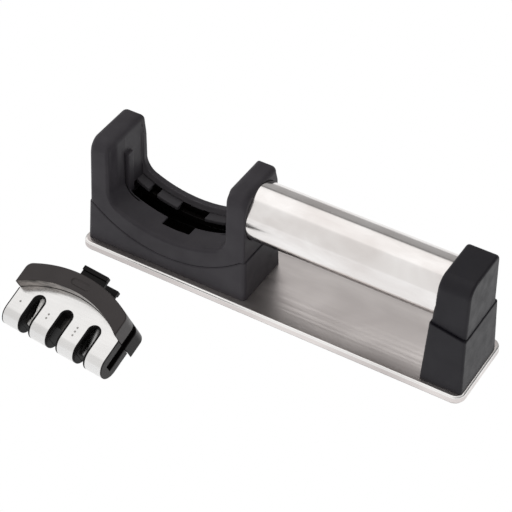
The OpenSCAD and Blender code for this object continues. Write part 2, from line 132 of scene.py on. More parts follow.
# It leans until its collar's back corners touch the table
rest_up = INNER_ARC - INNER_R + math.sqrt(INNER_R**2 - (CART_HALF - 0.2) ** 2) - NOSE_R
rest_out = -NOSE_R - COLLAR_BACK
rest_reach = math.hypot(rest_up, rest_out)
LEAN = math.degrees(math.atan2(rest_out, rest_up) - math.asin(NOSE_R / rest_reach))
LAY = (
    Matrix.Translation((CART_X, CART_Y, NOSE_R))
    @ Matrix.Rotation(math.radians(CART_YAW), 4, "Z")
    @ Matrix.Rotation(math.radians(LEAN), 4, "X")
    @ Matrix.Translation((0, -NOSE_R, NOSE_R))
)


# ---------------------------------------------------------------- solids as distance functions


def both(a, b, r=0.0):
    """What lies inside a and b, its edge rounded to radius r."""
    if np.ndim(r) == 0 and r == 0:
        return np.maximum(a, b)
    corner = np.hypot(np.maximum(a + r, 0), np.maximum(b + r, 0))
    return np.minimum(np.maximum(a, b), -r) + corner


def either(a, b, r=0.0):
    """What lies inside a or b, with a fillet of radius r."""
    return -both(-a, -b, r)


def less(a, b, r=0.0):
    """a with b cut out of it, the cut's edge rounded to radius r."""
    return both(a, -b, r)


def slab(u, low, high):
    """What lies between two planes."""
    return np.maximum(low - u, u - high)


def line_side(u, v, start, end):
    """Distance to the right of the line from start to end."""
    du, dv = end[0] - start[0], end[1] - start[1]
    return ((u - start[0]) * dv - (v - start[1]) * du) / math.hypot(du, dv)


def seam_circle(x, z):
    """Distance to the seam's arc, below zero above it."""
    return np.hypot(x, z - SEAM_LOW - SEAM_R) - SEAM_R


def seat_circle(x, z):
    """Distance to the seat's arc, below zero above it."""
    return np.hypot(x, z - SEAT_LOW - SEAT_R) - SEAT_R


def under_seat(x, y, z):
    """The hollow below the seat."""
    inner = BASE_DEPTH - STEP - WALL - (z - DECK) * DRAFT
    room = both(np.abs(x) - HOLLOW_HALF, np.abs(y) - inner, 1.0)
    return both(room, SEAT_WALL - seat_circle(x, z), 0.5)


def handle_bore(y, z):
    """The round hole that the handle tube sits in."""
    return np.hypot(y, z - HANDLE_Z) - HANDLE_R - BORE_GAP


def post_outline(y, z, half_y, top):
    """A post from its side, its front top edge rounder than its back one."""
    return both(both(-y - half_y, z - top, POST_FRONT_R), y - half_y, POST_BACK_R)


def cradle_base(x, y, z):
    """The cradle below its seam: a hollow box with leaning walls."""
    lean = (z - DECK) * DRAFT
    walls = both(np.abs(y) - BASE_DEPTH + lean, np.abs(x) - BASE_HALF + lean, 2.2)
    solid = both(walls, np.maximum(-seam_circle(x, z), z - SIDE_SEAM), 0.75)
    inside = both(under_seat(x, y, z), DECK + WALL - z, 1.0)
    return np.maximum(less(solid, inside), DECK - z)


def cradle_yoke(x, y, z):
    """The cradle above its seam: two posts, the seat, the back flange, the ribs and the slots."""
    ax = np.abs(x)
    half_y = BASE_DEPTH - STEP - (z - DECK) * YOKE_DRAFT
    # The right post's outer edges are sharper than the left one's, and all soften near the top
    side_r = np.where(x > 0, 0.9, 2.0)
    side_r = side_r + (3.0 - side_r) * np.clip((z - 58.0) / 5.0, 0, 1)
    sides = ax - YOKE_HALF + (z - SIDE_SEAM) * DRAFT / 2
    solid = both(post_outline(y, z, half_y, POST_H), sides, side_r)
    solid = both(solid, np.minimum(seam_circle(x, z), SIDE_SEAM - z) + 0.05, 0.2)

    flare = np.clip((MOUTH_Y - y) / MOUTH_RUN, 0, 1)
    crown = np.clip(z - POST_H + SHOULDER_R, 0, SHOULDER_R)
    shoulder = SHOULDER_R - np.sqrt(SHOULDER_R**2 - crown**2)
    half = POCKET_HALF + MOUTH_FLARE * flare * flare * (3 - 2 * flare)
    pocket = both(ax - half - shoulder, seat_circle(x, z), POCKET_R)
    pocket = both(pocket, y - RIM_Y, 0.6)
    fade = (POCKET_HALF - RIM_HALF) * np.clip((z - POST_H + 12.0) / 8.0, 0, 1)
    rim_circle = np.hypot(x, z - RIM_LOW - RIM_R) - RIM_R
    behind = both(ax - RIM_HALF - fade - shoulder, rim_circle, POCKET_R)
    lip_r = 0.6 + 1.3 * np.clip((6.0 - y) / 8.0, 0, 1)
    solid = less(solid, np.minimum(pocket, behind), lip_r)
    solid = less(solid, both(under_seat(x, y, z), HOLLOW_LOW - z), 0.4)

    long_slot = both(ax - POCKET_HALF, slab(y, SLOT_Y[0], RIM_Y), 0.3)
    notch = both(ax - NOTCH_HALF, slab(y, NOTCH_Y, RIM_Y), 0.3)
    solid = less(solid, np.minimum(long_slot, notch), 0.35)

    rib = both(both(RIB_HALF - ax, np.abs(y) - RIB_W / 2, 0.5), z - RIB_TOP, 0.5)
    rib = np.maximum(rib, np.maximum(ax - RIB_ROOT, RIB_FOOT - z))
    groove = np.maximum(z - RIB_TOP - 0.6, ax - GROOVE_ROOT)
    groove = np.maximum(slab(y, -RIB_W / 2 - GROOVE_W, -RIB_W / 2), groove)
    groove = np.maximum(groove, GROOVE_FOOT - z)
    solid = either(less(solid, groove, 0.2), rib)
    return less(solid, np.maximum(handle_bore(y, z), HANDLE_X[0] - CRADLE_X - x), 0.35)


def latch_plate(x, y, z):
    """An arc-shaped plate behind the slot: a web, with four ledges along its top."""
    ax = np.abs(x)
    arc = seat_circle(x, z)
    solid = both(slab(arc, 0.0, LATCH_DEEP), slab(y, SLOT_Y[1], RIM_Y - 0.4), 0.3)
    solid = both(solid, ax - POCKET_HALF)
    gaps = np.minimum(ax - NOTCH_HALF, slab(ax, *LATCH_GAP))
    solid = less(solid, np.maximum(gaps, arc - LATCH_GAP_DEEP), 0.3)
    return less(solid, np.maximum(y - SLOT_Y[1] - LEDGE_DEEP, LEDGE_H - arc))


def post_base(x, y, z):
    """The end post below its slanting seam."""
    lean = (z - DECK) * DRAFT
    left = line_side(x, z, END_SEAM[0], (end_low[0], DECK))
    right = line_side(x, z, (end_high[0], DECK), END_SEAM[1])
    top = line_side(x, z, END_SEAM[1], END_SEAM[0])
    faces = np.abs(y) - end_high[1] + lean
    solid = both(both(both(left, right), faces, 1.3), top, 0.3)
    room = both(both(left + WALL, right + WALL), faces + WALL, 1.0)
    return np.maximum(less(solid, both(room, DECK + WALL - z)), DECK - z)


def post_cap(x, y, z):
    """The end post above its seam, with the bore that ends the handle."""
    low = (END_SEAM[0][0] + 0.5, END_SEAM[0][1])
    high = (END_SEAM[1][0] - 0.5, END_SEAM[1][1])
    left = line_side(x, z, (low[0] + 1.3, cap_high[2]), low)
    right = line_side(x, z, high, (high[0] - 0.6, cap_high[2]))
    bottom = -line_side(x, z, END_SEAM[1], END_SEAM[0])
    half_y = cap_high[1] - (z - cap_low[2]) * DRAFT
    solid = both(post_outline(y, z, half_y, cap_high[2]), both(left, right), 1.5)
    solid = both(solid, bottom + 0.04, 0.2)
    room = slab(x, HANDLE_X[1] + 2.2, high[0] - 0.6 - WALL)
    room = both(room, np.abs(y) - half_y + WALL, 1.0)
    solid = less(solid, np.maximum(room, z - POST_H + 6.0))
    return less(solid, np.maximum(handle_bore(y, z), x - HANDLE_X[1]), 0.35)


# The cartridge's solids are in its own frame: X along it, Y from nose to arc, Z out of its face


def nose_side(x, y):
    """What lies on the nose's side of the collar's concave wall."""
    return np.hypot(x, y - INNER_ARC + INNER_R) - INNER_R


def nose_outline(y, z, inset):
    """A round nose running into two flat faces."""
    away = np.where(y < NOSE_R, np.hypot(y - NOSE_R, z - MID), np.abs(z - MID))
    return away - NOSE_R + inset


def from_slot(x):
    """How far x is from the nearest of the three slots."""
    return x - SLOT_PITCH * np.clip(np.round(x / SLOT_PITCH), -1, 1)


def slot_prism(x, y, w, end=SLOT_LEN):
    """The three slots, open at the nose and round at their other end."""
    offset = from_slot(x)
    top = end - w / 2
    return np.where(y < top, np.abs(offset), np.hypot(offset, y - top)) - w / 2


def end_channel(x, y, z):
    """The channels in the two ends, which slide over the guide ribs."""
    groove = both(np.abs(z - MID) - CHANNEL_W / 2, CHANNEL_END - y, 0.5)
    return both(CART_HALF - CHANNEL_DEEP - np.abs(x), groove, 0.2)


def cartridge_body(x, y, z):
    """The black core: end rims, liners that line the slots, and room for the sharpening pieces."""
    ax = np.abs(x)
    core = both(nose_outline(y, z, 0.55), ax - CART_HALF + 0.3)
    rim = both(nose_outline(y, z, 0.0), slab(ax, CART_HALF - 0.6, CART_HALF), 0.22)
    liner = slot_prism(x, y, SLOT_W - 0.1, SLOT_LEN - 0.05)
    liner = np.maximum(nose_outline(y, z, 0.02), liner)
    solid = both(np.minimum(np.minimum(core, rim), liner), nose_side(x, y))
    solid = less(solid, slot_prism(x, y, LINER_W, SLOT_LEN - 0.7), 0.4)
    cavity = np.maximum(slab(z, *CAVITY_Z), CAVITY_Y - y)
    solid = less(solid, np.maximum(np.abs(from_slot(x)) - CAVITY_HALF, cavity))
    return less(solid, end_channel(x, y, z), 0.25)


def collar(x, y, z):
    """The arc across the wide end, hollow inside, with a shallow long dimple in its face."""
    ax = np.abs(x)
    outer = np.hypot(x, y - COLLAR_ARC + SEAM_R) - SEAM_R
    solid = both(outer, ax - CART_HALF + 0.2, 2.2)
    solid = both(solid, slab(z, COLLAR_BACK, COLLAR_FRONT), 0.7)
    solid = less(solid, nose_side(x, y) - 0.05, 0.35)
    solid = np.maximum(solid, 10.0 - y)
    inner = np.hypot(x, y - COLLAR_ARC + SEAM_R + COLLAR_WALL) - SEAM_R
    room = np.maximum(ax - COLLAR_ROOM_HALF, np.abs(z - MID) - COLLAR_ROOM_DEEP)
    solid = less(solid, np.maximum(inner, room))
    solid = less(solid, end_channel(x, y, z), 0.25)
    for arm_low, _ in HOOKS:
        opening = slab(z, arm_low - CLIP_GAP, arm_low + ARM_T + CLIP_GAP)
        opening = np.maximum(ax - HOOK_HALF - CLIP_GAP, np.maximum(opening, 25.0 - y))
        solid = less(solid, opening, 0.2)
    dimple = np.hypot(np.maximum(ax - DIMPLE_HALF, 0), y - DIMPLE_Y) - DIMPLE_R
    depth = DIMPLE_DEEP * (1 - np.clip(dimple / DIMPLE_RUN + 1, 0, 1) ** 2)
    return np.maximum(solid, z - COLLAR_FRONT + depth)


def snap_clip(x, y, z):
    """Two arms on a bridge, each with a lip that hooks outwards."""
    solid = np.maximum(slab(y, *BRIDGE_Y), slab(z, *BRIDGE_Z))
    for arm_low, lip_low in HOOKS:
        arm = np.maximum(slab(y, *ARM_Y), slab(z, arm_low, arm_low + ARM_T))
        lip = both(slab(y, *LIP_Y), slab(z, lip_low, lip_low + LIP_T), 0.35)
        solid = np.minimum(solid, np.minimum(arm, lip))
    return both(solid, np.abs(x) - HOOK_HALF, 0.3)


# ---------------------------------------------------------------- meshes


def surface_nets(d):
    """Corner points in grid units and quads of the surface where the field d crosses zero."""
    cells = np.array(d.shape) - 1
    inside = d < 0
    edge_points, edge_cells, faces = [], [], []
    for axis in range(3):
        first, second = [slice(None)] * 3, [slice(None)] * 3
        first[axis], second[axis] = slice(0, -1), slice(1, None)
        near, far = d[tuple(first)], d[tuple(second)]
        crossed = np.argwhere(inside[tuple(first)] != inside[tuple(second)])
        at = tuple(crossed.T)
        point = crossed.astype(np.float64)
        point[:, axis] += near[at] / (near[at] - far[at])
        u, v = (axis + 1) % 3, (axis + 2) % 3
        ring = []
        for du, dv in ((0, 0), (-1, 0), (-1, -1), (0, -1)):
            cell = crossed.copy()
            cell[:, u] += du
            cell[:, v] += dv
            ring.append(np.ravel_multi_index(tuple(cell.T), tuple(cells)))
            edge_points.append(point)
            edge_cells.append(ring[-1])
        quad = np.stack(ring, 1)
        out = near[at] < 0
        quad[~out] = quad[~out][:, ::-1]
        faces.append(quad)
    edge_points, edge_cells = np.concatenate(edge_points), np.concatenate(edge_cells)
    used, where = np.unique(edge_cells, return_inverse=True)
    count = np.bincount(where)
    points = np.stack([np.bincount(where, edge_points[:, k]) / count for k in range(3)], 1)
    return points, np.searchsorted(used, np.concatenate(faces))


def slope(field, p, reach=0.04):
    """The field's gradient at points p."""
    parts = []
    for k in range(3):
        ahead, behind = p.copy(), p.copy()
        ahead[:, k] += reach
        behind[:, k] -= reach
        parts.append((field(*ahead.T) - field(*behind.T)) / (2 * reach))
    return np.stack(parts, 1)


def new_object(name, points, faces, normals=None):
    """A smooth mesh object from points in millimetres and the corner numbers of its faces."""
    mesh = bpy.data.meshes.new(name)
    mesh.vertices.add(len(points))
    mesh.vertices.foreach_set("co", np.asarray(points, np.float32).ravel() * MM)
    size = np.array([len(face) for face in faces])
    corners = np.concatenate(faces)
    mesh.loops.add(len(corners))
    mesh.loops.foreach_set("vertex_index", corners.astype(np.int32))
    mesh.polygons.add(len(size))
    mesh.polygons.foreach_set("loop_start", (np.cumsum(size) - size).astype(np.int32))
    mesh.update(calc_edges=True)
    mesh.validate()
    mesh.shade_smooth()
    if normals is not None:
        mesh.normals_split_custom_set_from_vertices(normals.astype(np.float32).tolist())
    made = bpy.data.objects.new(name, mesh)
    bpy.context.scene.collection.objects.link(made)
    return made


def sculpt(name, field, low, high, pitch):
    """A closed mesh of the solid that a distance function describes, within a box."""
    low, high = np.array(low, float) - 2 * pitch, np.array(high, float) + 2 * pitch
    steps = np.ceil((high - low) / pitch).astype(int) + 1
    axes = [low[k] + pitch * np.arange(steps[k]) for k in range(3)]
    grid = np.meshgrid(*axes, indexing="ij")
    points, faces = surface_nets(field(*grid))
    points = points * pitch + low
    for _ in range(3):
        g = slope(field, points)
        away = field(*points.T) / np.maximum((g * g).sum(1), 0.25)
        points -= np.clip(away, -pitch / 2, pitch / 2)[:, None] * g
    g = slope(field, points, 0.08)
    normals = g / np.maximum(np.linalg.norm(g, axis=1), 1e-6)[:, None]
    return new_object(name, points, faces, normals)


def round_loop(half_x, half_y, radius, corner_steps=12):
    """Points anticlockwise round a rectangle with rounded corners, centred on the tray."""
    points = []
    for turn, sx, sy in ((0, 1, 1), (90, -1, 1), (180, -1, -1), (270, 1, -1)):
        for i in range(corner_steps + 1):
            a = math.radians(turn + 90 * i / corner_steps)
            x = sx * (half_x - radius) + radius * math.cos(a)
            y = TRAY_Y + sy * (half_y - radius) + radius * math.sin(a)
            points.append((x, y))
    return points


def stacked(name, loops):
    """A closed mesh through loops of (points, height), flat at its two ends."""
    count = len(loops[0][0])
    points = [(x, y, z) for ring, z in loops for x, y in ring]
    faces = [tuple(reversed(range(count)))]
    for k in range(len(loops) - 1):
        for i in range(count):
            j = (i + 1) % count
            low, high = k * count, (k + 1) * count
            faces.append((low + i, low + j, high + j, high + i))
    faces.append(tuple(range((len(loops) - 1) * count, len(loops) * count)))
    return new_object(name, points, faces)


def sharpen_normals(obj, degrees=32.0):
    """Smooth shading that breaks at edges sharper than an angle."""
    form = bmesh.new()
    form.from_mesh(obj.data)
    for face in form.faces:
        face.smooth = True
    for edge in form.edges:
        soft = edge.calc_face_angle(0.0) < math.radians(degrees)
        edge.smooth = len(edge.link_faces) == 2 and soft
    form.to_mesh(obj.data)
    form.free()


def refined(node, bevel):
    """A copy of a CAD node with welded corners, rounded edges and smooth curved faces."""
    form = bmesh.new()
    form.from_mesh(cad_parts[node].data)
    bmesh.ops.remove_doubles(form, verts=form.verts, dist=2e-6)
    flat = math.radians(0.4)
    bmesh.ops.dissolve_limit(form, angle_limit=flat, verts=form.verts, edges=form.edges)
    mesh = bpy.data.meshes.new(node + "_shape")
    form.to_mesh(mesh)
    form.free()
    made = bpy.data.objects.new(node + "_shape", mesh)
    bpy.context.scene.collection.objects.link(made)
    sharpen_normals(made)
    rounding = made.modifiers.new("rounding", "BEVEL")
    rounding.width = bevel * MM
    rounding.segments = 2
    rounding.limit_method = "ANGLE"
    rounding.angle_limit = math.radians(40)
    rounding.harden_normals = True
    rounding.use_clamp_overlap = True
    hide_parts(node)
    return made


# ---------------------------------------------------------------- materials


class Finish:
    """A procedural material: a Principled shader with helpers for what drives it."""

    def __init__(self, name, roughness, metallic=0.0, specular=0.5):
        self.material = bpy.data.materials.new(name)
        self.material.use_nodes = True
        self.nodes = self.material.node_tree.nodes
        self.links = self.material.node_tree.links
        self.shader = self.nodes["Principled BSDF"]
        self.shader.inputs["Roughness"].default_value = roughness
        self.shader.inputs["Metallic"].default_value = metallic
        self.shader.inputs["Specular IOR Level"].default_value = specular
        self.place = self.nodes.new("ShaderNodeTexCoord").outputs["Object"]

    def noise(self, size, detail=3.0, stretch=(1, 1, 1), distortion=0.0):
        """Noise whose features are about size millimetres across, stretched along the axes."""
        mapping = self.nodes.new("ShaderNodeMapping")
        mapping.inputs["Scale"].default_value = [1 / (size * MM * s) for s in stretch]
        self.links.new(self.place, mapping.inputs["Vector"])
        texture = self.nodes.new("ShaderNodeTexNoise")
        texture.inputs["Scale"].default_value = 1.0
        texture.inputs["Detail"].default_value = detail
        texture.inputs["Distortion"].default_value = distortion
        self.links.new(mapping.outputs["Vector"], texture.inputs["Vector"])
        return texture.outputs["Fac"]

    def ramp(self, value, low, high, start=0.3, end=0.7):
        """value from start to end mapped to low to high."""
        mapped = self.nodes.new("ShaderNodeMapRange")
        mapped.inputs["From Min"].default_value = start
        mapped.inputs["From Max"].default_value = end
        mapped.inputs["To Min"].default_value = low
        mapped.inputs["To Max"].default_value = high
        self.links.new(value, mapped.inputs["Value"])
        return mapped.outputs["Result"]

    def mix(self, factor, a, b):
        """Two colours, or a colour and a socket, mixed by a factor socket."""
        blend = self.nodes.new("ShaderNodeMix")
        blend.data_type = "RGBA"
        self.links.new(factor, blend.inputs[0])
        for socket, colour in ((blend.inputs[6], a), (blend.inputs[7], b)):
            if isinstance(colour, tuple):
                socket.default_value = (*colour, 1.0)
            else:
                self.links.new(colour, socket)
        return blend.outputs[2]

    def up(self, low, high):
        """0 to 1 as the height goes from low to high, in millimetres."""
        split = self.nodes.new("ShaderNodeSeparateXYZ")
        self.links.new(self.place, split.inputs[0])
        return self.ramp(split.outputs["Z"], 0, 1, low * MM, high * MM)

    def colour(self, socket):
        self.links.new(socket, self.shader.inputs["Base Color"])

    def rough(self, socket):
        self.links.new(socket, self.shader.inputs["Roughness"])

    def bump(self, value, depth_um):
        """A bump of a real depth in micrometres."""
        bump = self.nodes.new("ShaderNodeBump")
        bump.inputs["Strength"].default_value = 1.0
        bump.inputs["Distance"].default_value = depth_um * 1e-6
        self.links.new(value, bump.inputs["Height"])
        self.links.new(bump.outputs["Normal"], self.shader.inputs["Normal"])


def moulded(name, dark, light, roughness, specular, grain=0.35, grain_um=18):
    """Plastic or ceramic: soft clouds in tone and gloss, and a fine grain."""
    finish = Finish(name, roughness, specular=specular)
    finish.colour(finish.mix(finish.ramp(finish.noise(14, 2), 0, 1), dark, light))
    finish.rough(finish.ramp(finish.noise(6, 3), roughness - 0.05, roughness + 0.05))
    finish.bump(finish.noise(grain, 2), grain_um)
    return finish.material


def brushed(name, dark, light, roughness, along, line=0.16, line_um=5.0, cloud=26, painted_shade_under=None):
    """Steel brushed along an axis: long fine lines, soft clouds in tone, and streaks in gloss.

    The last argument is (colour, low, high): painted shade on the underside, which ends between
    two heights.
    """
    finish = Finish(name, roughness, metallic=1.0)
    stretch = tuple(90 if k == along else 1 for k in range(3))
    lines = finish.noise(line, 2, stretch)
    cloud_stretch = tuple(2.2 if k == along else 1 for k in range(3))
    clouds = finish.noise(cloud, 3, cloud_stretch, 0.6)
    tone = finish.mix(finish.ramp(clouds, 0, 1, 0.34, 0.66), dark, light)
    # Painted shade below a height.
    if painted_shade_under:
        tone = finish.mix(finish.up(*painted_shade_under[1:]), painted_shade_under[0], tone)
    finish.colour(tone)
    streaks = finish.noise(1.1, 3, stretch)
    finish.rough(finish.ramp(streaks, roughness - 0.06, roughness + 0.07))
    finish.bump(lines, line_um)
    return finish.material


HOUSING = moulded(
    "housing_soft_touch", (0.033, 0.0298, 0.0352), (0.043, 0.0396, 0.0455), 0.5, 0.2)
END_HOUSING = moulded(
    "housing_satin", (0.0064, 0.0056, 0.0090), (0.0098, 0.0086, 0.0128), 0.46, 0.26)
# A lighter copy of the housing plastic, painted light on the back flange's front wall.
FLANGE_PAINTED_LIGHT = moulded(
    "back_flange_painted_light", (0.080, 0.075, 0.082), (0.100, 0.094, 0.103), 0.5, 0.2)
LEDGE = moulded(
    "latch_plastic", (0.044, 0.0415, 0.046), (0.054, 0.051, 0.056), 0.5, 0.16)
COLLAR = moulded(
    "collar_satin", (0.021, 0.0160, 0.0160), (0.028, 0.0222, 0.0222), 0.32, 0.36, 0.5, 10)
# Black plastic; the housings' hollows, slots and latch web and the collar's channel also take it
# as painted shade.
BLACK_AND_PAINTED_SHADE = moulded(
    "black_plastic", (0.0030, 0.0024, 0.0024), (0.0052, 0.0043, 0.0043), 0.26, 0.11, 0.4, 8)
# A lighter grey copy of the core's black: painted light on the right end's rim.
END_RIM_PAINTED_LIGHT = moulded(
    "core_end_painted_light", (0.024, 0.0228, 0.0232), (0.033, 0.0315, 0.032), 0.4, 0.2, 0.4, 8)
RUBBER = moulded(
    "pad_rubber", (0.010, 0.010, 0.010), (0.017, 0.017, 0.017), 0.75, 0.3, 0.6, 40)
TRAY = brushed(
    "tray_steel", (0.56, 0.52, 0.51), (0.76, 0.715, 0.70), 0.34, 0)
# A brighter copy of the tray steel: a painted highlight on the rounded edge.
TRAY_EDGE_HIGHLIGHT = brushed(
    "tray_edge_painted_highlight", (0.80, 0.785, 0.775), (0.93, 0.92, 0.91), 0.2, 0)
HANDLE = brushed(
    "handle_steel", (0.74, 0.705, 0.69), (0.87, 0.85, 0.84), 0.15, 0, 0.2, 2.5, 14,
    # The tube's dark underside is painted shade.
    ((0.10, 0.085, 0.08), HANDLE_Z - 0.58 * HANDLE_R, HANDLE_Z - 0.48 * HANDLE_R))
FACE = brushed(
    "face_steel", (0.71, 0.705, 0.70), (0.82, 0.815, 0.81), 0.22, 0, 0.2, 3)
GLOSS = brushed(
    "collar_polished_wall", (0.035, 0.030, 0.028), (0.30, 0.27, 0.25), 0.16, 0, 0.6, 6, 3.5)
ZINC = brushed(
    "zinc_plating", (0.52, 0.52, 0.50), (0.66, 0.66, 0.63), 0.33, 2)
CARBIDE = brushed(
    "ground_carbide", (0.10, 0.095, 0.09), (0.19, 0.18, 0.17), 0.3, 1, 0.2, 6, 3)
CERAMIC = moulded(
    "ceramic_white", (0.82, 0.81, 0.79), (0.90, 0.89, 0.87), 0.35, 0.5, 0.25, 6)
MARK = moulded(
    "etched_mark", (0.30, 0.29, 0.28), (0.38, 0.37, 0.36), 0.5, 0.4)


def diamond_grit():
    finish = Finish("diamond_grit", 0.42, metallic=0.7)
    grit = finish.noise(0.22, 2)
    finish.colour(finish.mix(finish.ramp(grit, 0, 1), (0.16, 0.16, 0.16), (0.52, 0.52, 0.52)))
    finish.bump(grit, 70)
    return finish.material


GRIT = diamond_grit()


def finished(obj, body, material, slot, *nodes, others=(), picks=None):
    """Gives a piece its material and its body, and hides the CAD nodes it stands for; the slot
    argument is not used.

    picks(centre, normal) gives the number of the material that a face takes, 0 for the first.
    """
    obj.data.materials.clear()
    for finish in (material, *others):
        obj.data.materials.append(finish)
    if picks:
        chosen = [picks(face.center / MM, face.normal) for face in obj.data.polygons]
        obj.data.polygons.foreach_set("material_index", np.array(chosen, np.int32))
    if nodes:
        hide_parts(*nodes)
    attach(obj, body)
    return obj


# ---------------------------------------------------------------- tray and pad

TRAY_SHEET, TRAY_EDGE_R, CHAMFER, EDGE_FACETS = 0.8, 1.25, 0.25, 8


def tray_ring(inset):
    return round_loop(TRAY_LEN / 2 - inset, TRAY_W / 2 - inset, TRAY_R - inset)


def tray_loops():
    """The tray's rings, from under its top sheet, down its inner wall and up its outer one."""
    inner = tray_ring(TRAY_SHEET)
    loops = [(inner, DECK - TRAY_SHEET), (inner, PAD_H), (tray_ring(CHAMFER), PAD_H),
             (tray_ring(0.0), PAD_H + CHAMFER)]
    for i in range(EDGE_FACETS + 1):
        a = math.radians(90 * i / EDGE_FACETS)
        ring = tray_ring(TRAY_EDGE_R * (1 - math.cos(a)))
        loops.append((ring, DECK - TRAY_EDGE_R * (1 - math.sin(a))))
    return loops


def tray_material(centre, normal):
    """The rounded edge takes a brighter steel than the top and the sides: a painted highlight."""
    return int(0.2 < normal.z < 0.985)


tray = stacked("tray_shell", tray_loops())
sharpen_normals(tray, 40)
finished(tray, "stand", TRAY, "tray_steel", "base_tray", others=[TRAY_EDGE_HIGHLIGHT], picks=tray_material)

pad_high = node_box("base_pad")[1]
pad_rings = [
    (round_loop(pad_high[0] - inset, pad_high[1] - TRAY_Y - inset, TRAY_R - PAD_INSET - inset), z)
    for inset, z in ((CHAMFER, 0.0), (0.0, CHAMFER), (0.0, PAD_H - 0.02))
]
pad = stacked("rubber_pad", pad_rings)
sharpen_normals(pad, 40)
finished(pad, "stand", RUBBER, "pad_rubber", "base_pad")

# ---------------------------------------------------------------- moulded housings

FINE = 0.45


def housing(name, field, node, at_x, low, high, material, pitch=1.0, others=(), picks=None):
    """A piece of the stand from a distance function whose origin is at x = at_x."""
    made = sculpt(name, field, low, high, FINE * pitch)
    finished(made, "stand", material, "housing_plastic", node, others=others, picks=picks)
    made.data.transform(Matrix.Translation(Vector((at_x, 0, 0)) * MM))


def inside_base(centre, normal):
    """The walls of the hollow take black as painted shade, for the dark they show through the slot
    in the seat.
    """
    within = abs(centre.x) < BASE_HALF - WALL - 2 and abs(centre.y) < BASE_DEPTH - WALL
    return int(within and seam_circle(centre.x, centre.z) > 0.4)


def yoke_material(centre, normal):
    """Black as painted shade inside the slots and the hollow, and a lighter plastic as painted
    light on the back flange's front wall.
    """
    if abs(centre.x) > POCKET_HALF + 0.1 or abs(centre.y) > RIM_Y + 1.5:
        return 0
    # Faces below the seat, in the slots and the hollow, take black as painted shade.
    if seat_circle(centre.x, centre.z) > 0.55:
        return 1
    # The back flange's front wall takes the lighter copy: painted light.
    return 2 if centre.y > RIM_Y - 0.5 and normal.y < -0.4 else 0


def latch_material(centre, normal):
    """The web behind and below the ledges takes black as painted shade."""
    ledge_h = 0.5 if centre.y > SLOT_Y[1] + LEDGE_DEEP + 0.1 else LEDGE_H + 0.1
    return int(seat_circle(centre.x, centre.z) > ledge_h)


housing("cradle_base_shell", cradle_base, "cradle_base", CRADLE_X,
        (-BASE_HALF, -BASE_DEPTH, DECK), (BASE_HALF, BASE_DEPTH, SIDE_SEAM),
        HOUSING, others=[BLACK_AND_PAINTED_SHADE], picks=inside_base)
housing("cradle_yoke_shell", cradle_yoke, "cradle_yoke", CRADLE_X,
        (-YOKE_HALF, -BASE_DEPTH, SEAM_LOW), (YOKE_HALF, BASE_DEPTH, POST_H),
        HOUSING, others=[BLACK_AND_PAINTED_SHADE, FLANGE_PAINTED_LIGHT], picks=yoke_material)
housing("latch_ledges", latch_plate, "latch_plate", CRADLE_X,
        (-POCKET_HALF, SLOT_Y[1], 10), (POCKET_HALF, RIM_Y, 33),
        LEDGE, 0.8, others=[BLACK_AND_PAINTED_SHADE], picks=latch_material)
housing("end_post_base", post_base, "post_base", 0.0,
        (end_low[0], -end_high[1], DECK), (end_high[0], end_high[1], END_SEAM[0][1]), END_HOUSING)
housing("end_post_cap", post_cap, "post_cap", 0.0,
        (cap_low[0], -cap_high[1], cap_low[2]), tuple(cap_high), END_HOUSING)

# ---------------------------------------------------------------- handle


def tube_mesh():
    """The handle tube: a thin wall with a small chamfer at each open end."""
    segments, lengths = 160, 24
    (left, right), inner, edge = HANDLE_X, HANDLE_R - TUBE_WALL, HANDLE_R - TUBE_CHAMFER
    sections = [(left, inner), (left, edge), (left + TUBE_CHAMFER, HANDLE_R)]
    sections += [(left + (right - left) * i / lengths, HANDLE_R) for i in range(1, lengths)]
    sections += [(right - TUBE_CHAMFER, HANDLE_R), (right, edge), (right, inner)]
    turns = [2 * math.pi * i / segments for i in range(segments)]
    points = [(x, r * math.cos(a), HANDLE_Z + r * math.sin(a)) for x, r in sections for a in turns]
    faces = []
    for k in range(len(sections)):
        here, after = k * segments, (k + 1) % len(sections) * segments
        for i in range(segments):
            j = (i + 1) % segments
            faces.append((here + i, here + j, after + j, after + i))
    made = new_object("handle_tube_shell", points, faces)
    sharpen_normals(made, 30)
    return made


finished(tube_mesh(), "stand", HANDLE, "handle_steel", "handle_tube")

# ---------------------------------------------------------------- cartridge


def laid(made):
    """Moves a piece from the cartridge's own frame to where the cartridge lies."""
    place = LAY.copy()
    place.translation = place.translation * MM
    made.data.transform(place)
    return made


def cartridge_piece(name, field, node, low, high, material, slot, pitch, others=(), picks=None):
    """A piece of the cartridge from its distance function."""
    made = sculpt(name, field, low, high, FINE * pitch)
    laid(finished(made, "cartridge", material, slot, node, others=others, picks=picks))


def core_material(centre, normal):
    """The right end's flat rim takes a lighter grey than the rest, as painted light; the left end
    stays black.
    """
    return int(centre.x > CART_HALF - 0.5)


def collar_material(centre, normal):
    """The concave wall is polished, and the right end's channel and back leg take black as painted
    shade.
    """
    if centre.z > 0.1 and normal.y < -0.75 and centre.x < CART_HALF - 2:
        return 1
    # Painted shade: black in the right end's channel and on its back leg.
    if centre.x > CART_HALF - CHANNEL_DEEP - 0.2 and centre.z < MID + CHANNEL_W / 2 + 0.2:
        return 2
    return 0


